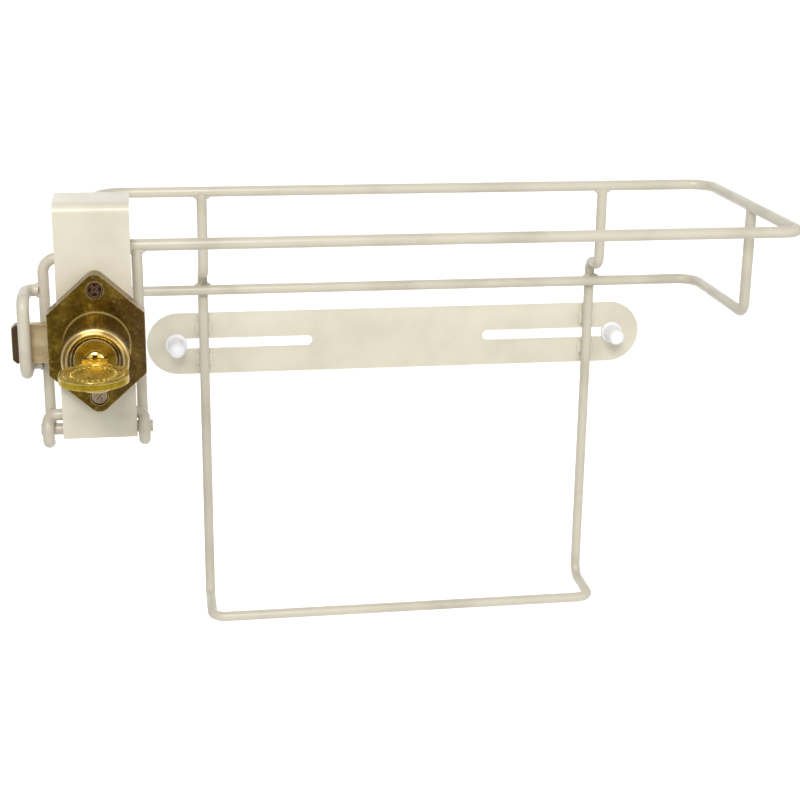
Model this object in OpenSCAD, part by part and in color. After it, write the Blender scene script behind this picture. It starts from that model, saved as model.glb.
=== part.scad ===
// Coated wire wall bracket with a hinged locking gate.
// Origin: centre of the mounting plate's rear face. +X right, +Z up, -Y away from the wall.
// All sizes are in millimetres.

/* [Wire] */
// Diameter of the coated main wire
wire_d = 5; // [4.5:0.1:5.2]
// Diameter of the coated wire of the gate frame's legs
leg_d = 4.5; // [4:0.1:4.6]

/* [Top ring] */
// X of the ring's left rail, wire centre
ring_left = -151; // [-156:0.5:-149]
// X of the ring's right rail, wire centre
ring_right = 156.5; // [150:0.5:170]
// Height of the ring above the plate's centre
ring_z = 82; // [78:0.5:90]
// Y of the ring's rear wire, wire centre
ring_rear_y = -20.7; // [-24:0.1:-18]
// Y of the ring's front wire, wire centre
ring_front_y = -142.4; // [-143:0.1:-142]
// Bend radius of the ring's rear corners
ring_rear_r = 11; // [8:0.5:14]
// Bend radius of the ring's front corners
ring_front_r = 6.5; // [5:0.5:9]

/* [Lower rail] */
// Height of the lower rail above the plate's centre
rail_z = 30; // [27:0.5:34]
// Y of the rail's two uprights
rail_front_y = -83.4; // [-90:0.2:-70]
// Bend radius where the rail turns forward
rail_rear_r = 10; // [7:0.5:12]
// Bend radius where the rail turns up
rail_up_r = 5.5; // [4:0.5:8]

/* [Cradle] */
// Distance between the two stiles
stile_gap = 202; // [190:1:210]
// Height of the step back in each stile
jog_z = 40.4; // [38:0.2:44]
// Bend radius of the step
jog_r = 5.5; // [4:0.5:7]
// Depth of the bottom bar below the plate's centre
bar_drop = 138.3; // [120:0.5:160]
// Reach of the bottom bar from the wall
bar_reach = 35.9; // [30:0.5:60]
// Bend radius at the bottom of the stiles and at the bar's ends
bar_r = 7; // [5:0.5:9]

/* [Mounting plate] */
// Length of the plate
plate_l = 260; // [250:1:270]
// Height of the plate
plate_h = 32; // [28:1:36]
// Thickness of the plate
plate_t = 2; // [1.5:0.1:2.5]
// End-to-end length of each slot
slot_l = 74; // [60:1:76]
// Width of each slot
slot_w = 5.6; // [5.6:0.1:6.4]
// Distance between the centres of the two slots
slot_spacing = 164; // [160:1:168]

/* [Slot plugs] */
// Distance of each plug from the plate's centre
plug_x = 115; // [112:0.5:115.5]
// Radius of the plug's flange
plug_flange_r = 5.6; // [5:0.1:7]
// Length of the plug in front of the plate
plug_len = 14; // [8:0.5:18]

/* [Gate frame] */
// X of the left leg
leg_left_x = -170.3; // [-171:0.1:-170]
// X of the right leg
leg_right_x = -132; // [-132.4:0.1:-131.6]
// Height of the hinge rod
rod_z = 5; // [4.5:0.1:5.5]
// X of the keeper staple's crown
keeper_x = -177.8; // [-178.4:0.1:-177.4]
// Height of the staple's upper prong
keeper_top = 64; // [62:0.5:66]
// Height of the staple's lower prong
keeper_bottom = 32.8; // [31.5:0.1:33]

/* [Gate strap] */
// Width of the strap
strap_w = 30.6; // [28:0.2:31]
// Thickness of the strap
strap_t = 2; // [1.8:0.1:2]
// Height of the strap's top lip
strap_top = 101.2; // [98:0.2:106]
// Length of the top lip
lip_l = 26.5; // [20:0.5:30]

/* [Lock] */
// Height of the lock's axis
lock_z = 45; // [44.5:0.1:45.5]
// Width of the lock case across its upright sides
case_w = 39.4; // [38:0.2:41]
// Height of the lock case between its points
case_h = 58; // [57:0.2:60]
// Length of the case's upright sides
case_side = 25.6; // [25:0.2:27]
// Length of the barrel
barrel_l = 26; // [24:0.5:28]
// Radius of the barrel
barrel_r = 13.4; // [13.2:0.1:13.8]
// Travel of the bolt
bolt_travel = 14; // [13.5:0.1:14]
// Height of the bolt
bolt_h = 16.4; // [15:0.2:16.6]

/* [Key] */
// Width of the key's bow
bow_w = 26.6; // [24:0.2:28]
// Length of the key's bow
bow_l = 29; // [24:0.5:32]

/* [Hidden] */
$fn = 64;

wr = wire_d / 2;
lr = leg_d / 2;
weld = 0.2;

stile_x = stile_gap / 2;
stile_y = -plate_t - wr + 0.05;
rail_y = stile_y - wire_d + weld;
rail_left = ring_left;
rail_right = ring_right - 0.2;

rod_y = ring_front_y - lr - wr + weld;
run_z = ring_z - wr - lr + 0.05;
leg_end_z = rod_z - 2.2;

strap_x = -149.7;
loop_r = 5.5;
turn_r = 3.5;
loop_start = 127.5;
loop_end = 256;
hook_y = round(100 * (rod_y + loop_r * cos(loop_start) + turn_r * sin(loop_start))) / 100;
hook_left_x = -171;
hook_right_x = -131.4;
strap_rear = hook_y - wr + 0.03;
strap_front = strap_rear - strap_t;
strap_bottom = rod_z - 3;
strap_bend = 4;

lock_x = -149.2;
cover_t = 0.8;
bolt_rear = strap_front - cover_t - 0.3;
bolt_t = 3.8;
bolt_front = bolt_rear - bolt_t;
cam_rear = bolt_front - 0.3;
cam_t = 1.2;
cam_front = cam_rear - cam_t;
case_wall = 1.5;
case_front = cam_front - 0.3 - case_wall;
barrel_front = case_front - barrel_l;
tip_r = 4.5;
throw_r = bolt_travel / sqrt(2);
pin_r = 1.5;
keeper_y = bolt_front - 1.6 - wr;

plug_r = 6.3;
bore_r = plug_r + 0.08;
head_r = 9.1;
head_t = 3;
head_face = barrel_front + 1.6;
bolt_tip_x = -183.3;
screw_dz = 22.6;
head_sink = 1.2;
head_screw_r = 3.1;
mouth_r = 3.5;
pin_count = 5;
pin_pitch = 3.7;
first_pin = 8;
chamber_r = 1.55;

// ---------- helpers ----------

function unit(v) = v / norm(v);
function turn(a, b) = acos(max(-1, min(1, a * b)));
function inset(a, b, r) = r * tan(turn(a, b) / 2);

// Straight round bar between two points.
module bar(p, q, r) {
  a = unit(q - p);
  s = abs(a[2]) < 0.9 ? unit(cross(a, [0, 0, 1])) : unit(cross(a, [1, 0, 0]));
  t = cross(a, s);
  multmatrix([
    [s[0], t[0], a[0], p[0]],
    [s[1], t[1], a[1], p[1]],
    [s[2], t[2], a[2], p[2]],
    [0, 0, 0, 1]
  ])
    cylinder(r = r, h = norm(q - p));
}

// Bend at corner p, from direction a to direction b.
module elbow(p, a, b, bend, r) {
  phi = turn(a, b);
  n = unit(b - (a * b) * a);
  k = cross(a, n);
  c = p - a * inset(a, b, bend) + n * bend;
  multmatrix([
    [-n[0], a[0], k[0], c[0]],
    [-n[1], a[1], k[1], c[1]],
    [-n[2], a[2], k[2], c[2]],
    [0, 0, 0, 1]
  ])
    rotate_extrude(angle = phi)
      translate([bend, 0])
        circle(r = r);
}

// Open bent wire through the points, with one bend radius per inner point.
module wire(pts, bends, r) {
  last = len(pts) - 1;
  dirs = [for (i = [0 : last - 1]) unit(pts[i + 1] - pts[i])];
  cut = [
    for (i = [0 : last])
      (i == 0 || i == last) ? 0 : inset(dirs[i - 1], dirs[i], bends[i - 1])
  ];
  for (i = [0 : last - 1])
    bar(pts[i] + dirs[i] * cut[i], pts[i + 1] - dirs[i] * cut[i + 1], r);
  for (i = [1 : last - 1])
    elbow(pts[i], dirs[i - 1], dirs[i], bends[i - 1], r);
}

// Cylinder along -Y from y0 to y1, at x and z.
module along_y(x, z, y0, y1, r) {
  translate([x, y0, z])
    rotate([90, 0, 0])
      cylinder(r = r, h = y0 - y1);
}

// Turned shape: profile points are [radius, distance from y0 towards -Y].
module turned(x, z, y0, profile) {
  translate([x, y0, z])
    rotate([90, 0, 0])
      rotate_extrude()
        polygon(profile);
}

// Flat outline in X and Z, given thickness from y0 to y1.
module sheet(y0, y1) {
  translate([0, y0, 0])
    rotate([90, 0, 0])
      linear_extrude(height = y0 - y1)
        children();
}

module stadium(length, height) {
  square([length - height, height], center = true);
  for (s = [-1, 1])
    translate([s * (length - height) / 2, 0])
      circle(r = height / 2);
}

// ---------- wall side ----------

module top_ring() {
  color("Wheat") {
    mid = (ring_left + ring_right) / 2;
    wire(
      [
        [mid, ring_rear_y, ring_z],
        [ring_right, ring_rear_y, ring_z],
        [ring_right, ring_front_y, ring_z],
        [ring_left, ring_front_y, ring_z],
        [ring_left, ring_rear_y, ring_z],
        [mid, ring_rear_y, ring_z]
      ],
      [ring_rear_r, ring_front_r, ring_front_r, ring_rear_r],
      wr
    );
  }
}

module lower_rail() {
  color("Bisque")
    difference() {
      wire(
        [
          [rail_left, rail_front_y, ring_z],
          [rail_left, rail_front_y, rail_z],
          [rail_left, rail_y, rail_z],
          [rail_right, rail_y, rail_z],
          [rail_right, rail_front_y, rail_z],
          [rail_right, rail_front_y, ring_z]
        ],
        [rail_up_r, rail_rear_r, rail_rear_r, rail_up_r],
        wr
      );
      for (x = [ring_left, ring_right])
        bar([x, rail_front_y - 8, ring_z], [x, rail_front_y + 8, ring_z], wr);
    }
}

module cradle_wire() {
  color("AntiqueWhite")
    difference() {
      wire(
        [
          [-stile_x, ring_rear_y, ring_z],
          [-stile_x, ring_rear_y, jog_z],
          [-stile_x, stile_y, jog_z],
          [-stile_x, stile_y, -bar_drop],
          [-stile_x, -bar_reach, -bar_drop],
          [stile_x, -bar_reach, -bar_drop],
          [stile_x, stile_y, -bar_drop],
          [stile_x, stile_y, jog_z],
          [stile_x, ring_rear_y, jog_z],
          [stile_x, ring_rear_y, ring_z]
        ],
        [jog_r, jog_r, bar_r, bar_r, bar_r, bar_r, jog_r, jog_r],
        wr
      );
      for (s = [-1, 1])
        bar([s * stile_x - 8, ring_rear_y, ring_z], [s * stile_x + 8, ring_rear_y, ring_z], wr);
    }
}

module mount_plate() {
  color("Tan")
    sheet(0, -plate_t)
      difference() {
        stadium(plate_l, plate_h);
        for (s = [-1, 1])
          translate([s * slot_spacing / 2, 0])
            stadium(slot_l, slot_w);
      }
}

module slot_plug(x) {
  color("White") {
    along_y(x, 0, -0.1, -plate_t, slot_w / 2 - 0.15);
    turned(x, 0, -plate_t, [
      [0, 0], [plug_flange_r, 0], [plug_flange_r, 1.4], [plug_flange_r - 0.7, 2.2],
      [4.5, 2.6], [4.1, plug_len - 3], [3.5, plug_len - 1.2], [2.2, plug_len - 0.2],
      [0, plug_len]
    ]);
  }
}

module plug_left() {
  slot_plug(-plug_x);
}

module plug_right() {
  slot_plug(plug_x);
}

module leg_left() {
  color("Linen")
    wire(
      [
        [-137, ring_front_y, run_z],
        [leg_left_x, ring_front_y, run_z],
        [leg_left_x, ring_front_y, leg_end_z]
      ],
      [6],
      lr
    );
}

module leg_right() {
  color("Linen")
    difference() {
      bar([leg_right_x, ring_front_y, ring_z], [leg_right_x, ring_front_y, leg_end_z], lr);
      bar([leg_right_x - 8, ring_front_y, ring_z], [leg_right_x + 8, ring_front_y, ring_z], wr);
    }
}

module hinge_rod() {
  color("BurlyWood")
    bar([-174.2, rod_y, rod_z], [-127.8, rod_y, rod_z], wr);
}

module keeper_staple() {
  butt_x = leg_left_x - lr + 0.1;
  color("Khaki")
    wire(
      [
        [butt_x, ring_front_y, keeper_top],
        [keeper_x, ring_front_y, keeper_top],
        [keeper_x, keeper_y, keeper_top],
        [keeper_x, keeper_y, keeper_bottom],
        [keeper_x, ring_front_y, keeper_bottom],
        [butt_x, ring_front_y, keeper_bottom]
      ],
      [4, 5, 5, 4],
      wr
    );
}

// ---------- gate ----------

module gate_strap() {
  half = strap_w / 2;
  color("PapayaWhip")
    difference() {
      union() {
        translate([strap_x - half, strap_front, strap_bottom])
          cube([strap_w, strap_t, strap_top - strap_bend - strap_bottom]);
        translate([strap_x - half, strap_front + strap_bend, strap_top - strap_t])
          cube([strap_w, lip_l - strap_bend, strap_t]);
        translate([strap_x - half, strap_front + strap_bend, strap_top - strap_bend])
          rotate([90, 0, 90])
            rotate([0, 0, 90])
              intersection() {
                difference() {
                  cylinder(r = strap_bend, h = strap_w);
                  translate([0, 0, -1])
                    cylinder(r = strap_bend - strap_t, h = strap_w + 2);
                }
                cube([strap_bend, strap_bend, strap_w]);
              }
      }
      for (s = [-1, 1])
        along_y(lock_x, lock_z + s * screw_dz, strap_rear + 1, strap_front - 1, 2.05);
    }
}

// Drawn in a frame turned about the rod, so that the loops start on its first axis.
module hinge_hooks() {
  color("NavajoWhite")
    translate([0, rod_y, rod_z])
      rotate([loop_start, 0, 0]) {
        bar([hook_left_x + turn_r, loop_r, -turn_r], [hook_right_x - turn_r, loop_r, -turn_r], wr);
        for (end = [[hook_left_x, -1], [hook_right_x, 1]]) {
          elbow([end[0], loop_r, -turn_r], [end[1], 0, 0], [0, 0, 1], turn_r, wr);
          translate([end[0], 0, 0])
            rotate([90, 0, 90])
              rotate_extrude(angle = loop_end - loop_start)
                translate([loop_r, 0])
                  circle(r = wr);
        }
      }
}

// ---------- lock case ----------

function tip_angle() =
  let (dx = case_w / 2, dz = case_side / 2 - (case_h / 2 - tip_r))
  atan2(dz, dx) + acos(tip_r / sqrt(dx * dx + dz * dz));

module case_outline() {
  a = tip_angle();
  tx = tip_r * cos(a);
  tz = case_h / 2 - tip_r + tip_r * sin(a);
  polygon([
    [case_w / 2, -case_side / 2], [case_w / 2, case_side / 2], [tx, tz], [-tx, tz],
    [-case_w / 2, case_side / 2], [-case_w / 2, -case_side / 2], [-tx, -tz], [tx, -tz]
  ]);
  for (s = [-1, 1])
    translate([0, s * (case_h / 2 - tip_r)])
      circle(r = tip_r);
}

module case_pocket() {
  head = bolt_h / 2 + 0.4;
  x0 = -case_w / 2 - 1;
  translate([x0, -head])
    square([12.5 - x0, 2 * head]);
  translate([-14, -head])
    square([26.5, head + 13.4]);
}

module lock_case() {
  rear = strap_front - cover_t;
  depth = rear + 1 - case_front - head_sink;
  color("DarkGoldenrod")
    difference() {
      translate([lock_x, 0, lock_z])
        sheet(rear, case_front)
          case_outline();
      translate([lock_x, 0, lock_z])
        sheet(rear + 1, case_front + case_wall)
          case_pocket();
      along_y(lock_x, lock_z, rear, case_front - 1, bore_r);
      for (s = [-1, 1])
        turned(lock_x, lock_z + s * screw_dz, rear + 1, [
          [0, 0], [2.15, 0], [2.15, depth - mouth_r + 2.15], [mouth_r, depth],
          [mouth_r, depth + 3], [0, depth + 3]
        ]);
    }
}

module case_cover() {
  color("Goldenrod")
    difference() {
      translate([lock_x, 0, lock_z])
        sheet(strap_front, strap_front - cover_t)
          case_outline();
      for (s = [-1, 1])
        along_y(lock_x, lock_z + s * screw_dz, strap_front + 1, strap_front - 3, 2.15);
    }
}

module lock_screw(z) {
  head_y = case_front + head_sink;
  rear = strap_front - cover_t;
  top = rear - 4.2 - head_y;
  color("Silver")
    difference() {
      union() {
        along_y(lock_x, z, strap_rear + 0.8, rear - 4.2, 2);
        turned(lock_x, z, rear - 4.2, [
          [0, 0], [2, 0], [2, top - 0.1 - head_screw_r + 2], [head_screw_r, top - 0.1],
          [head_screw_r, top], [0, top]
        ]);
      }
      for (a = [45, 135])
        translate([lock_x, head_y, z])
          rotate([0, a, 0])
            translate([-1.9, -1, -0.4])
              cube([3.8, 2, 0.8]);
    }
}

module screw_upper() {
  lock_screw(lock_z + screw_dz);
}

module screw_lower() {
  lock_screw(lock_z - screw_dz);
}

// ---------- barrel ----------

function pin_y(i) = head_face + head_t + first_pin - 4.6 + i * pin_pitch;

module chamber(y, x0, x1, r) {
  translate([lock_x + x0, y, lock_z])
    rotate([0, 90, 0])
      cylinder(r = r, h = x1 - x0);
}

module lock_barrel() {
  color("Peru")
    difference() {
      turned(lock_x, lock_z, case_front, [
        [bore_r, 0], [barrel_r + 0.5, 0], [barrel_r + 0.5, 0.8], [barrel_r, 1.3],
        [barrel_r - 0.2, barrel_l - 2.4], [head_r + 0.4, barrel_l - 2.4],
        [head_r + 0.4, barrel_l - 5.2], [bore_r, barrel_l - 5.2]
      ]);
      for (i = [0 : pin_count - 1])
        chamber(pin_y(i), 5, 12, chamber_r);
      translate([lock_x + 11.6, pin_y(0) - 2.2, lock_z - 2.2])
        cube([4, pin_pitch * (pin_count - 1) + 4.4, 4.4]);
    }
}

module bezel_ring() {
  color("LightGoldenrodYellow")
    turned(lock_x, lock_z, case_front - barrel_l + 2.4, [
      [head_r + 0.5, 0], [barrel_r - 0.1, 0], [barrel_r - 0.1, 1], [barrel_r - 0.5, 1.8],
      [barrel_r - 2, 2.4], [barrel_r - 2.4, 2.4], [barrel_r - 2.6, 1.4], [head_r + 0.5, 1.2]
    ]);
}

module driver_pins() {
  color("Gold")
    for (i = [0 : pin_count - 1])
      chamber(pin_y(i), 6.7, 8.6 + 0.3 * (i % 3), 1.4);
}

module pin_springs() {
  color("Gray")
    for (i = [0 : pin_count - 1])
      difference() {
        chamber(pin_y(i), 9.3, 11.5, 1.35);
        chamber(pin_y(i), 9.2, 11.6, 0.9);
      }
}

module pin_cover() {
  color("SandyBrown")
    translate([lock_x + 11.6, pin_y(0) - 2.15, lock_z - 2.15])
      cube([0.9, pin_pitch * (pin_count - 1) + 4.3, 4.3]);
}

// ---------- turning parts ----------

module keyway(y0, y1) {
  translate([lock_x - 4.5, y1, lock_z - 1.35])
    cube([9, y0 - y1, 2.7]);
}

module lock_plug() {
  rear = cam_front;
  color("Orange")
    difference() {
      union() {
        along_y(lock_x, lock_z, rear, head_face + head_t, plug_r);
        turned(lock_x, lock_z, head_face + head_t, [
          [0, 0], [head_r - 0.1, 0], [head_r, 0.1], [head_r, head_t - 0.8],
          [head_r - 0.6, head_t - 0.3], [4.1, head_t], [3.7, head_t + 0.9], [3, head_t + 1.2],
          [0, head_t + 1.2]
        ]);
        translate([lock_x - 3, cam_front, lock_z - 3])
          cube([6, cam_t, 6]);
      }
      keyway(head_face + head_t + 22, head_face - 3);
      along_y(lock_x, lock_z + 1.9, head_face + 2.5, head_face - 2, 1);
      for (i = [0 : pin_count - 1])
        chamber(pin_y(i), 4, 7, chamber_r);
    }
}

module key_pins() {
  color("Khaki")
    for (i = [0 : pin_count - 1])
      chamber(pin_y(i), 4.6, 6.2, 1.4);
}

module lock_cam() {
  a = 45;
  px = lock_x - throw_r * sin(a);
  pz = lock_z + throw_r * cos(a);
  color("Sienna") {
    difference() {
      union() {
        along_y(lock_x, lock_z, cam_rear, cam_front, 5.6);
        along_y(px, pz, cam_rear, cam_front, 2.6);
        translate([lock_x, 0, lock_z])
          rotate([0, -a, 0])
            translate([-2.6, cam_front, 0])
              cube([5.2, cam_t, throw_r]);
      }
      translate([lock_x - 3, cam_front - 1, lock_z - 3])
        cube([6, cam_t + 2, 6]);
    }
    along_y(px, pz, bolt_rear, cam_rear, pin_r);
  }
}

module lock_bolt() {
  px = lock_x - throw_r * sin(45);
  slot_half = pin_r + 0.6;
  half = bolt_h / 2;
  bevel = 1.6;
  color("RosyBrown")
    sheet(bolt_rear, bolt_front)
      difference() {
        union() {
          polygon([
            [bolt_tip_x + bevel, lock_z - half], [px + 4.6, lock_z - half],
            [px + 4.6, lock_z + half], [bolt_tip_x + bevel, lock_z + half],
            [bolt_tip_x, lock_z + half - bevel], [bolt_tip_x, lock_z - half + bevel]
          ]);
          translate([px - 4.6, lock_z])
            square([9.2, 13]);
        }
        translate([px - slot_half, lock_z + 4.6])
          square([2 * slot_half, 7.3]);
      }
}

// ---------- key ----------

module lock_key() {
  blade_end = head_face + head_t + 20;
  shoulder = head_face - 1.9;
  neck = 9;
  bow_y = shoulder - neck - bow_l / 2 + 3;
  color("Yellow") {
    difference() {
      union() {
        translate([lock_x - 4, shoulder - 0.5, lock_z - 1])
          cube([8, blade_end - shoulder + 0.5 - 2, 2]);
        translate([lock_x - 4, blade_end - 2, lock_z - 1])
          linear_extrude(height = 2)
            polygon([[0, 0], [8, 0], [5, 2], [3, 2]]);
        translate([lock_x, 0, lock_z - 1.3])
          linear_extrude(height = 2.6)
            union() {
              translate([-4.8, shoulder - neck])
                square([9.6, neck]);
              translate([0, bow_y])
                rotate(90)
                  stadium(bow_l, bow_w);
            }
      }
      for (i = [0 : pin_count - 1])
        translate([lock_x + 4.1, pin_y(i) + 0.1, lock_z - 2])
          rotate([0, 0, 45])
            cube([1.1 + 0.5 * (i % 3), 1.1 + 0.5 * (i % 3), 4]);
    }
  }
}

top_ring();
lower_rail();
cradle_wire();
mount_plate();
plug_left();
plug_right();
leg_left();
leg_right();
hinge_rod();
keeper_staple();
gate_strap();
hinge_hooks();
lock_case();
case_cover();
lock_barrel();
bezel_ring();
screw_upper();
screw_lower();
driver_pins();
pin_springs();
pin_cover();
lock_plug();
key_pins();
lock_cam();
lock_bolt();
lock_key();
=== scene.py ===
import math

import bmesh
import bpy
from mathutils import Matrix, Vector, noise


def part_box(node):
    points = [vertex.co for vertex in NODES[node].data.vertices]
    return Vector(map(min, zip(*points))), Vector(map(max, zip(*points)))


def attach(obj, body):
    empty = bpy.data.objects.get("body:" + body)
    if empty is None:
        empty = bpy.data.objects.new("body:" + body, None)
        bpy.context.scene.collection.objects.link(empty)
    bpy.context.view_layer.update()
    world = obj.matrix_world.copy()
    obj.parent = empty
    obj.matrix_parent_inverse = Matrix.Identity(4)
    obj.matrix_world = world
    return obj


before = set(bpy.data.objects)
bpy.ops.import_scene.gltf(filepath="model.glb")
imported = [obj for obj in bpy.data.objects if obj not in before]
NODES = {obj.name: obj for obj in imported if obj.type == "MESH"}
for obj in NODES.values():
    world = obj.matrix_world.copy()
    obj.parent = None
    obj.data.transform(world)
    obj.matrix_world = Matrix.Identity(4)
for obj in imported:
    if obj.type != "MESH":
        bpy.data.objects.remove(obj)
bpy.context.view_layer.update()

# Main positions in metres, in the row frame.
RING_Z = 0.082
RING_REAR_Y = -0.0207
RING_FRONT_Y = -0.1424
RING_LEFT, RING_RIGHT = -0.151, 0.1565
RAIL_Z = 0.030
RAIL_FRONT_Y = -0.0834
STILE_X = 0.101
STILE_Y = -0.00445
RAIL_Y = -0.00925
LEG_LEFT_X, LEG_RIGHT_X = -0.1703, -0.132
ROD_Y, ROD_Z = -0.14695, 0.005
RUN_Z = 0.0773
LOCK_X, LOCK_Z = -0.1492, 0.045
KEEPER_TOP, KEEPER_BOTTOM = 0.064, 0.0328
LEG_R = 0.00225
HOOK_BAR_Y, HOOK_BAR_Z = -0.14995, 0.01149
BOW_HALF_LENGTH = 0.0145
FLOOR_Z = -0.80
CAMERA_AT = (-0.1256, -0.7943, 0.2202)
CAMERA_YAW, CAMERA_PITCH, CAMERA_ROLL = 0.159, 0.307, 0.013


# ---------- materials ----------

class Tree:
    """Small helper round a material's node tree."""

    def __init__(self, name):
        self.mat = bpy.data.materials.new(name)
        self.mat.use_nodes = True
        self.nt = self.mat.node_tree
        self.bsdf = self.nt.nodes["Principled BSDF"]
        self.coord = self.nt.nodes.new("ShaderNodeTexCoord")

    def link(self, a, b):
        self.nt.links.new(a, b)

    def noise(self, scale, detail=4.0, rough=0.55, stretch=(1, 1, 1)):
        mapping = self.nt.nodes.new("ShaderNodeMapping")
        mapping.inputs["Scale"].default_value = stretch
        self.link(self.coord.outputs["Object"], mapping.inputs["Vector"])
        n = self.nt.nodes.new("ShaderNodeTexNoise")
        n.inputs["Scale"].default_value = scale
        n.inputs["Detail"].default_value = detail
        n.inputs["Roughness"].default_value = rough
        self.link(mapping.outputs["Vector"], n.inputs["Vector"])
        return n.outputs["Fac"]

    def ramp(self, fac, stops):
        r = self.nt.nodes.new("ShaderNodeValToRGB")
        e = r.color_ramp.elements
        e[0].position, e[0].color = stops[0][0], (*stops[0][1], 1)
        e[1].position, e[1].color = stops[-1][0], (*stops[-1][1], 1)
        for pos, col in stops[1:-1]:
            e.new(pos).color = (*col, 1)
        self.link(fac, r.inputs["Fac"])
        return r.outputs["Color"]

    def spread(self, fac, low, high, a=0.3, b=0.7):
        m = self.nt.nodes.new("ShaderNodeMapRange")
        m.inputs["From Min"].default_value = a
        m.inputs["From Max"].default_value = b
        m.inputs["To Min"].default_value = low
        m.inputs["To Max"].default_value = high
        self.link(fac, m.inputs["Value"])
        return m.outputs["Result"]

    def mix(self, fac, a, b, mode="MIX"):
        m = self.nt.nodes.new("ShaderNodeMix")
        m.data_type = "RGBA"
        m.blend_type = mode
        for value, name in ((fac, 0), (a, 6), (b, 7)):
            if isinstance(value, (int, float)):
                m.inputs[name].default_value = value
            elif isinstance(value, tuple):
                m.inputs[name].default_value = (*value, 1)
            else:
                self.link(value, m.inputs[name])
        return m.outputs[2]

    def edges(self):
        """1 along sharp edges and 0 on faces, for wear and light along edges."""
        soft = self.nt.nodes.new("ShaderNodeBevel")
        soft.samples = 6
        soft.inputs["Radius"].default_value = 0.0007
        face = self.nt.nodes.new("ShaderNodeNewGeometry")
        dot = self.nt.nodes.new("ShaderNodeVectorMath")
        dot.operation = "DOT_PRODUCT"
        self.link(soft.outputs["Normal"], dot.inputs[0])
        self.link(face.outputs["Normal"], dot.inputs[1])
        return self.spread(dot.outputs["Value"], 1.0, 0.0, 0.86, 0.995)

    def near(self, at, radius, squash=(1, 1, 1)):
        """1 at a point of the object and 0 from radius on, in object space."""
        m = self.nt.nodes.new("ShaderNodeMapping")
        m.vector_type = "TEXTURE"
        m.inputs["Location"].default_value = at
        m.inputs["Scale"].default_value = tuple(radius * k for k in squash)
        self.link(self.coord.outputs["Object"], m.inputs["Vector"])
        g = self.nt.nodes.new("ShaderNodeTexGradient")
        g.gradient_type = "SPHERICAL"
        self.link(m.outputs["Vector"], g.inputs["Vector"])
        return g.outputs["Fac"]

    def from_axis(self, cx, cz, reach):
        """Distance from an axis along Y through (cx, cz) in object space: 0 on it and 1 at reach."""
        x = self.nt.nodes.new("ShaderNodeSeparateXYZ")
        self.link(self.coord.outputs["Object"], x.inputs["Vector"])
        flat = self.nt.nodes.new("ShaderNodeCombineXYZ")
        self.link(x.outputs["X"], flat.inputs["X"])
        self.link(x.outputs["Z"], flat.inputs["Z"])
        d = self.nt.nodes.new("ShaderNodeVectorMath")
        d.operation = "DISTANCE"
        d.inputs[1].default_value = (cx, 0, cz)
        self.link(flat.outputs["Vector"], d.inputs[0])
        return self.spread(d.outputs["Value"], 0.0, 1.0, 0.0, reach)

    def along(self, axis, start, end):
        """0 at start and 1 at end along an axis of the object."""
        x = self.nt.nodes.new("ShaderNodeSeparateXYZ")
        self.link(self.coord.outputs["Object"], x.inputs["Vector"])
        return self.spread(x.outputs[axis], 0.0, 1.0, start, end)

    def bump(self, fac, strength, distance, base=None):
        b = self.nt.nodes.new("ShaderNodeBump")
        b.inputs["Strength"].default_value = strength
        b.inputs["Distance"].default_value = distance
        self.link(fac, b.inputs["Height"])
        if base is not None:
            self.link(base, b.inputs["Normal"])
        return b.outputs["Normal"]

    def put(self, **values):
        for name, value in values.items():
            socket = self.bsdf.inputs[name.replace("_", " ")]
            if isinstance(value, (int, float, tuple)):
                socket.default_value = value
            else:
                self.link(value, socket)
        return self.mat


def coat_material(name, base, dark, peel, painted_shadows=()):
    """Powder coat: faint cloudiness, fine orange peel, a soft gloss and a few soft painted shadows where
    other parts meet it.
    """
    t = Tree(name)
    cloud = t.noise(38, 5)
    fine = t.noise(900, 3)
    grime = t.noise(120, 6, 0.7)
    col = t.ramp(cloud, [(0.3, dark), (0.52, base), (0.75, tuple(min(1, c * 1.04) for c in base))])
    col = t.mix(t.spread(grime, 0.0, 0.10, 0.55, 0.8), col, tuple(c * 0.72 for c in base))
    col = t.mix(t.spread(t.edges(), 0.0, 0.22, 0.0, 1.0), col, tuple(c * 0.62 for c in base))
    # Painted shadow: soft darker spots beside the parts that meet this surface, standing in for the shade
    # they cast.
    shadow_colour = tuple(c * 0.55 for c in base)
    for at, radius, squash, depth in painted_shadows:
        fade = t.spread(t.near(at, radius, squash), 0.0, depth, 0.0, 0.7)
        col = t.mix(fade, col, shadow_colour)
    normal = t.bump(fine, peel, 0.00012, t.bump(t.noise(160, 2), 0.08, 0.0004))
    return t.put(
        Base_Color=col,
        Roughness=t.spread(t.noise(70, 4), 0.30, 0.44),
        Metallic=0.0,
        Coat_Weight=0.18,
        Coat_Roughness=0.22,
        Normal=normal,
    )


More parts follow.
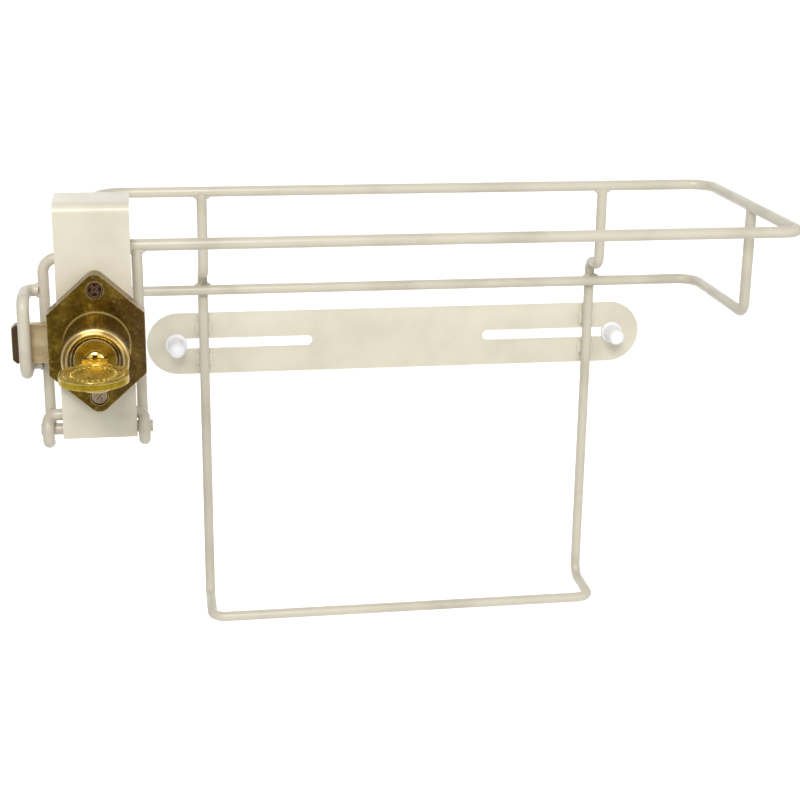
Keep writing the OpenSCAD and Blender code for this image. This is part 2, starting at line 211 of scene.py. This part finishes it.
def brass_material(name, stops, rough, scale, pit, wear_and_glint=(0.80, 0.66, 0.36), streak=(1, 1, 1),
                   painted_light_band=None, rings=None, flecks=None):
    """Mottled yellow metal with tarnish, fine pits and brighter edges from wear and painted highlight.

    Bands paint light or shade along an axis, rings paint highlight and shade round the lock, flecks add
    specks.
    """
    t = Tree(name)
    mottle = t.noise(scale, 8, 0.72, streak)
    speck = t.noise(scale * 7, 4, 0.6)
    col = t.ramp(mottle, stops)
    col = t.mix(t.spread(speck, 0.0, 0.55, 0.56, 0.72), col, tuple(c * 0.35 for c in stops[0][1]))
    if flecks:
        col = t.mix(t.spread(t.noise(scale * 4.5, 5, 0.65), 0.0, flecks[1], 0.57, 0.70), col, flecks[0])
    # Painted highlight and painted shade in rings round the lock's axis.
    if rings:
        reach, ring_stops, depth = rings
        col = t.mix(depth, col, t.ramp(t.from_axis(LOCK_X, LOCK_Z, reach), ring_stops))
    # A band of painted light along one axis: painted shade on some parts, a painted highlight on others.
    if painted_light_band:
        axis, start, end, tint, depth = painted_light_band
        col = t.mix(t.spread(t.along(axis, start, end), 0.0, depth, 0.0, 1.0), col, tint)
    # Brighter edges: partly wear, partly painted highlight where rims catch the light.
    col = t.mix(t.spread(t.edges(), 0.0, 0.8, 0.0, 1.0), col, wear_and_glint)
    normal = t.bump(speck, pit, 0.0002, t.bump(t.noise(scale * 2, 3), pit * 0.6, 0.0005))
    return t.put(
        Base_Color=col,
        Metallic=1.0,
        Roughness=t.spread(t.noise(scale * 2.2, 6), rough[0], rough[1]),
        Normal=normal,
    )


def nylon_material():
    t = Tree("white_nylon")
    col = t.ramp(t.noise(90, 4), [(0.3, (0.86, 0.86, 0.91)), (0.7, (0.95, 0.95, 0.97))])
    return t.put(
        Base_Color=col,
        Roughness=t.spread(t.noise(300, 4), 0.36, 0.5),
        Subsurface_Weight=0.15,
        Subsurface_Radius=(0.002, 0.002, 0.002),
        Normal=t.bump(t.noise(700, 2), 0.12, 0.0001),
    )


def steel_material(name, tint, rough):
    t = Tree(name)
    brushed = t.noise(260, 5, 0.6, (1, 1, 9))
    col = t.ramp(brushed, [(0.3, tuple(c * 0.7 for c in tint)), (0.7, tint)])
    return t.put(
        Base_Color=col,
        Metallic=1.0,
        Roughness=t.spread(brushed, rough[0], rough[1]),
        Normal=t.bump(brushed, 0.2, 0.0001),
    )


WIRE = coat_material("coat_wire", (0.575, 0.53, 0.425), (0.48, 0.435, 0.34), 0.10)
SHEET = coat_material(
    "coat_sheet", (0.665, 0.62, 0.495), (0.60, 0.555, 0.435), 0.16,
    # Painted shadows beside the hinge hooks on the strap and beside the stiles on the plate.
    painted_shadows=[
        ((-0.1600, -0.1520, 0.0115), 0.0050, (1, 1, 0.5), 0.16),
        ((-0.1395, -0.1520, 0.0115), 0.0050, (1, 1, 0.5), 0.20),
        ((-0.1065, -0.0020, -0.0085), 0.0080, (1, 1, 1), 0.16),
        ((-0.0955, -0.0020, 0.0085), 0.0060, (1, 1, 1), 0.12),
        ((0.1065, -0.0020, -0.0085), 0.0080, (1, 1, 1), 0.20),
        ((0.0955, -0.0020, 0.0085), 0.0060, (1, 1, 1), 0.10),
    ],
)
CASE = brass_material(
    "case_dichromate",
    [(0.28, (0.085, 0.044, 0.007)), (0.45, (0.15, 0.088, 0.011)),
     (0.58, (0.24, 0.150, 0.018)), (0.78, (0.48, 0.34, 0.06))],
    (0.16, 0.34), 130, 0.25, flecks=((0.80, 0.64, 0.28), 0.42),
    # Painted shade: the case's right side is darker, as the face turned from the light.
    painted_light_band=("X", -0.150, -0.128, (0.13, 0.068, 0.040), 0.55),
)
BARREL = brass_material(
    "barrel_brass",
    [(0.28, (0.13, 0.080, 0.014)), (0.5, (0.29, 0.195, 0.030)), (0.75, (0.50, 0.36, 0.08))],
    (0.16, 0.32), 120, 0.12, streak=(1, 0.25, 1),
    # Painted highlight: a bright gold line round the barrel's base.
    painted_light_band=("Y", -0.1622, -0.1604, (0.80, 0.62, 0.24), 0.8),
)
PLUG = brass_material(
    "plug_brass",
    [(0.28, (0.19, 0.120, 0.02)), (0.5, (0.36, 0.245, 0.03)), (0.75, (0.54, 0.39, 0.075))],
    (0.18, 0.32), 170, 0.12,
    # Painted highlights and painted shade in rings on the plug's face: a bright centre and rim with a dark
    # ring between.
    rings=(0.0095, [(0.0, (0.98, 0.86, 0.34)), (0.40, (0.94, 0.78, 0.28)), (0.46, (0.22, 0.125, 0.015)),
                    (0.84, (0.30, 0.18, 0.02)), (0.90, (0.95, 0.82, 0.52)), (1.0, (0.60, 0.45, 0.20))], 0.6),
)
KEY = brass_material(
    "key_brass",
    [(0.28, (0.27, 0.17, 0.010)), (0.5, (0.53, 0.37, 0.024)), (0.75, (0.80, 0.60, 0.08))],
    (0.20, 0.38), 200, 0.18, wear_and_glint=(0.95, 0.82, 0.42),
)
BOLT = brass_material(
    "bolt_brass",
    [(0.28, (0.40, 0.29, 0.15)), (0.5, (0.60, 0.47, 0.26)), (0.75, (0.74, 0.61, 0.38))],
    (0.32, 0.5), 140, 0.2, streak=(0.3, 1, 1),
    # Painted shadow on the bolt's left end.
    painted_light_band=("X", -0.1762, -0.1812, (0.05, 0.028, 0.018), 0.9),
)
BEZEL = brass_material(
    "bezel_bright",
    [(0.28, (0.30, 0.19, 0.06)), (0.5, (0.48, 0.33, 0.12)), (0.75, (0.70, 0.53, 0.24))],
    (0.22, 0.36), 90, 0.06, wear_and_glint=(0.86, 0.70, 0.40),
    # Painted shade in the dark recess inside the bezel, with painted highlight rings on its lips.
    rings=(0.0134, [(0.0, (0.05, 0.025, 0.01)), (0.80, (0.05, 0.025, 0.01)), (0.82, (0.74, 0.56, 0.26)),
                    (0.85, (0.70, 0.52, 0.22)), (0.88, (0.18, 0.105, 0.025)), (0.93, (0.34, 0.22, 0.06)),
                    (0.96, (0.76, 0.59, 0.28)), (1.0, (0.42, 0.29, 0.09))], 0.9),
)
SCREW = brass_material(
    "screw_tarnished",
    [(0.28, (0.17, 0.09, 0.06)), (0.5, (0.32, 0.21, 0.15)), (0.75, (0.52, 0.40, 0.34))],
    (0.26, 0.42), 260, 0.2,
)
# A darker copy of the screw brass for the upper screw, as painted shade in its deep countersink.
SCREW_SHADED = brass_material(
    "screw_painted_shade",
    [(0.28, (0.020, 0.008, 0.006)), (0.5, (0.060, 0.024, 0.016)), (0.75, (0.16, 0.08, 0.05))],
    (0.22, 0.38), 260, 0.2, wear_and_glint=(0.55, 0.36, 0.26),
)
STEEL = steel_material("inner_steel", (0.56, 0.56, 0.57), (0.26, 0.42))
NYLON = nylon_material()

FINISH = {
    "top_ring": WIRE, "lower_rail": WIRE, "cradle_wire": WIRE, "leg_left": WIRE,
    "leg_right": WIRE, "hinge_rod": WIRE, "keeper_staple": WIRE, "hinge_hooks": WIRE,
    "mount_plate": SHEET, "gate_strap": SHEET, "plug_left": NYLON, "plug_right": NYLON,
    "lock_case": CASE, "case_cover": CASE, "lock_barrel": BARREL, "bezel_ring": BEZEL,
    "screw_upper": SCREW_SHADED, "screw_lower": SCREW, "driver_pins": PLUG, "pin_springs": STEEL,
    "pin_cover": BARREL, "lock_plug": PLUG, "key_pins": PLUG, "lock_cam": STEEL,
    "lock_bolt": BOLT, "lock_key": KEY,
}
# Edge rounding of the sharp CAD solids, in metres.
ROUND = {
    "mount_plate": 0.0004, "gate_strap": 0.00045, "lock_case": 0.0006, "case_cover": 0.0002,
    "lock_barrel": 0.0002, "lock_bolt": 0.0004, "lock_key": 0.0004, "lock_plug": 0.0002,
    "screw_upper": 0.00012, "screw_lower": 0.00012,
}


def dress(obj, mat, width=0.0):
    """Material, smooth shading and, where asked, rounded edges. The mesh keeps its vertices."""
    obj.data.materials.clear()
    obj.data.materials.append(mat)
    for p in obj.data.polygons:
        p.use_smooth = True
    if width:
        b = obj.modifiers.new("edge_round", "BEVEL")
        b.width = width
        b.segments = 3
        b.limit_method = "ANGLE"
        b.angle_limit = math.radians(38)
        b.harden_normals = True
        b.use_clamp_overlap = True


for name, node in NODES.items():
    dress(node, FINISH[name], ROUND.get(name, 0.0))


# ---------- detail pieces ----------

def finish_mesh(name, bm, mat, body, subdiv=1):
    me = bpy.data.meshes.new(name)
    bmesh.ops.recalc_face_normals(bm, faces=bm.faces)
    bm.to_mesh(me)
    bm.free()
    obj = bpy.data.objects.new(name, me)
    bpy.context.scene.collection.objects.link(obj)
    me.materials.append(mat)
    for p in me.polygons:
        p.use_smooth = True
    if subdiv:
        s = obj.modifiers.new("smooth", "SUBSURF")
        s.levels = s.render_levels = subdiv
    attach(obj, body)
    return obj


def weld_bead(bm, centre, along, out, length, width, height, seed):
    """One uneven bead: a closed rounded form along a seam, swollen in ripples."""
    a = Vector(along).normalized()
    o = Vector(out).normalized()
    s = a.cross(o).normalized()
    rings, sides = 11, 12
    loops = []
    for i in range(rings):
        u = -1 + 2 * (i + 0.5) / rings
        full = math.sqrt(max(0.0, 1 - abs(u) ** 2.6))
        loop = []
        for k in range(sides):
            t = 2 * math.pi * k / sides
            n = noise.noise(Vector((u * 3 + seed, math.cos(t) * 1.4, math.sin(t) * 1.4)))
            swell = full * (1 + 0.16 * n + 0.07 * math.sin(u * 9 + seed))
            p = Vector(centre) + a * (u * length / 2)
            p += s * (math.cos(t) * width / 2 * swell) + o * (math.sin(t) * height / 2 * swell)
            loop.append(bm.verts.new(p))
        loops.append(loop)
    for i in range(rings - 1):
        for k in range(sides):
            q = (k + 1) % sides
            bm.faces.new((loops[i][k], loops[i][q], loops[i + 1][q], loops[i + 1][k]))
    for loop, sign in ((loops[0], -1), (loops[-1], 1)):
        tip = bm.verts.new(Vector(centre) + a * (sign * length / 2))
        for k in range(sides):
            bm.faces.new((loop[k], loop[(k + 1) % sides], tip))


def welds(name, beads, body, mat=WIRE):
    bm = bmesh.new()
    for i, bead in enumerate(beads):
        weld_bead(bm, *bead, seed=1.7 * i + len(name))
    return finish_mesh(name, bm, mat, body)


X, Y, Z = (1, 0, 0), (0, 1, 0), (0, 0, 1)
FRONT = (0, -1, 0)
SIDES = (-1, 1)
STILES = (-STILE_X, STILE_X)


# Each bead is its centre, the way along it, the way out of the seam, then length, width and height.

def rail_stile_beads():
    """Stiles across the lower rail: two soft fillets at each side of each crossing."""
    beside, above = 0.0021, 0.0019
    y = (STILE_Y + RAIL_Y) / 2
    beads = []
    for x in STILES:
        for side in SIDES:
            for level in (1, -1):
                at = (x + side * beside, y, RAIL_Z + level * above)
                beads.append((at, X, Z, 0.0042, 0.0034, 0.0026))
    return beads


def ring_upright_beads():
    """Stile tops and uprights under the ring."""
    beside, below = 0.0021, 0.0023
    size = (0.0040, 0.0036, 0.0028)
    z = RING_Z - below
    beads = []
    for x in STILES:
        for side in SIDES:
            beads.append(((x + side * beside, RING_REAR_Y, z), X, Z, *size))
    for x in (RING_LEFT, RING_RIGHT):
        for side in SIDES:
            beads.append(((x, RAIL_FRONT_Y + side * beside, z), Y, Z, *size))
    return beads


def gate_frame_beads():
    """Run and right leg under the ring, the rod on both legs, and the keeper's prongs."""
    run_beside, run_above = 0.0014, 0.0022
    beside, below = 0.0019, 0.0024
    beads = []
    for x in (-0.1475, -0.1405):
        for side in SIDES:
            at = (x, RING_FRONT_Y + side * run_beside, RUN_Z + run_above)
            beads.append((at, X, Z, 0.0060, 0.0024, 0.0022))
    for side in SIDES:
        at = (LEG_RIGHT_X + side * beside, RING_FRONT_Y, RING_Z - below)
        beads.append((at, X, Z, 0.0036, 0.0034, 0.0024))
    for x in (LEG_LEFT_X, LEG_RIGHT_X):
        for side in SIDES:
            at = (x, (RING_FRONT_Y + ROD_Y) / 2, ROD_Z + side * beside)
            beads.append((at, X, Z, 0.0040, 0.0030, 0.0022))
    for z in (KEEPER_TOP, KEEPER_BOTTOM):
        for side in SIDES:
            at = (LEG_LEFT_X - LEG_R, RING_FRONT_Y, z + side * beside)
            beads.append((at, Y, Z, 0.0036, 0.0026, 0.0024))
    return beads


def plate_beads():
    """Projection welds: a low swelling on each side of a stile, above and below the slot."""
    beside, level, y = 0.0029, 0.0082, -0.0022
    beads = []
    for x in STILES:
        for side in SIDES:
            for dz in SIDES:
                at = (x + side * beside, y, dz * level)
                beads.append((at, Z, FRONT, 0.0072, 0.0034, 0.0020))
    return beads


def hook_beads():
    """Cross wire of the hinge hooks against the strap's back."""
    above = 0.0016
    beads = []
    for x in (-0.1585, -0.1415):
        for side in SIDES:
            at = (x, HOOK_BAR_Y, HOOK_BAR_Z + side * above)
            beads.append((at, X, Z, 0.0065, 0.0020, 0.0020))
    return beads


def key_relief():
    """Plain raised border and an even ring of round pearls on both faces of the key's bow."""
    klo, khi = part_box("lock_key")
    cx = (klo.x + khi.x) / 2
    half_width = (khi.x - klo.x) / 2
    cy = klo.y + BOW_HALF_LENGTH
    stretch = BOW_HALF_LENGTH / half_width
    steps, pearls = 96, 26
    face_z, rim_inset, pearl_inset = 0.0013, 0.0020, 0.0048
    profile = ((-0.0006, -0.0002), (-0.0003, 0.0004), (0.0003, 0.0004), (0.0006, -0.0002))
    bm = bmesh.new()

    def on_bow(angle, q, z):
        return (cx + math.cos(angle) * q, cy + math.sin(angle) * q * stretch, z)

    for face in (1, -1):
        z = LOCK_Z + face * face_z
        rim = []
        for i in range(steps):
            t = 2 * math.pi * i / steps
            ring = []
            for dr, dz in profile:
                ring.append(bm.verts.new(on_bow(t, half_width - rim_inset + dr, z + face * dz)))
            rim.append(ring)
        for i in range(steps):
            a, b = rim[i], rim[(i + 1) % steps]
            for k in range(len(profile)):
                n = (k + 1) % len(profile)
                bm.faces.new((a[k], a[n], b[n], b[k]))
        for i in range(pearls):
            t = 2 * math.pi * (i + 0.5) / pearls
            at = on_bow(t, half_width - pearl_inset, z)
            weld_bead(bm, at, X, (0, 0, face), 0.0016, 0.0016, 0.0010, seed=i)
    return finish_mesh("key_relief", bm, KEY, "key")


welds("weld_rail_stiles", rail_stile_beads(), "bracket")
welds("weld_ring_uprights", ring_upright_beads(), "bracket")
welds("weld_gate_frame", gate_frame_beads(), "bracket")
welds("weld_plate_stiles", plate_beads(), "bracket", SHEET)
welds("weld_hooks_strap", hook_beads(), "gate")
key_relief()


# ---------- floor, light, camera ----------

def studio():
    """Pale paper floor that curves up behind the object."""
    bm = bmesh.new()
    section = [(-2.2, 0.0), (-1.0, 0.0), (0.6, 0.0), (1.1, 0.04), (1.4, 0.22), (1.55, 0.6), (1.6, 2.6)]
    rows = []
    for y, z in section:
        rows.append([bm.verts.new((x, y, z + FLOOR_Z)) for x in (-3.2, -1.0, 1.0, 3.2)])
    for a, b in zip(rows, rows[1:]):
        for i in range(3):
            bm.faces.new((a[i], a[i + 1], b[i + 1], b[i]))
    me = bpy.data.meshes.new("studio_sweep")
    bm.to_mesh(me)
    bm.free()
    obj = bpy.data.objects.new("studio_sweep", me)
    bpy.context.scene.collection.objects.link(obj)
    s = obj.modifiers.new("smooth", "SUBSURF")
    s.levels = s.render_levels = 3
    for p in me.polygons:
        p.use_smooth = True
    t = Tree("studio_paper")
    col = t.ramp(t.noise(3, 3), [(0.3, (0.93, 0.93, 0.93)), (0.7, (0.95, 0.95, 0.95))])
    me.materials.append(t.put(Base_Color=col, Roughness=0.9))


def area(name, at, look, size, power, spread=180):
    """Soft rectangular lamp, with its spread in degrees."""
    light = bpy.data.lights.new(name, "AREA")
    light.shape = "RECTANGLE"
    light.size, light.size_y = size
    light.energy = power
    light.spread = math.radians(spread)
    obj = bpy.data.objects.new(name, light)
    bpy.context.scene.collection.objects.link(obj)
    obj.location = at
    obj.rotation_euler = (Vector(look) - Vector(at)).to_track_quat("-Z", "Y").to_euler()


def surroundings(strength):
    world = bpy.data.worlds.new("studio_world")
    bpy.context.scene.world = world
    world.use_nodes = True
    background = world.node_tree.nodes["Background"]
    background.inputs["Color"].default_value = (1, 1, 1, 1)
    background.inputs["Strength"].default_value = strength
    bpy.context.scene.view_settings.view_transform = "Standard"


def camera():
    """Camera at the photograph's viewing angle."""
    yaw, pitch, roll = CAMERA_YAW, CAMERA_PITCH, CAMERA_ROLL
    view = Vector((math.sin(yaw) * math.cos(pitch), math.cos(yaw) * math.cos(pitch), -math.sin(pitch)))
    right = view.cross(Vector((0, 0, 1))).normalized()
    up = right.cross(view)
    r = right * math.cos(roll) + up * math.sin(roll)
    u = up * math.cos(roll) - right * math.sin(roll)
    data = bpy.data.cameras.new("camera")
    data.sensor_width = 36
    data.lens = 71.41
    data.clip_start, data.clip_end = 0.01, 20
    obj = bpy.data.objects.new("camera", data)
    bpy.context.scene.collection.objects.link(obj)
    obj.matrix_world = Matrix((
        (r.x, u.x, -view.x, CAMERA_AT[0]),
        (r.y, u.y, -view.y, CAMERA_AT[1]),
        (r.z, u.z, -view.z, CAMERA_AT[2]),
        (0, 0, 0, 1),
    ))
    bpy.context.scene.camera = obj


studio()
area("key_light", (-0.50, -2.55, 1.85), (0, -0.07, 0), (1.2, 0.9), 62)
area("fill_light", (1.2, -1.9, 0.4), (0, -0.07, 0), (1.1, 0.9), 7)
area("top_light", (0.0, -0.1, 1.6), (0, -0.07, 0), (1.6, 1.0), 1)
area("sweep_light", (0.0, 0.9, 1.7), (0, 1.7, -0.8), (2.6, 0.8), 9, spread=70)
surroundings(0.50)
camera()
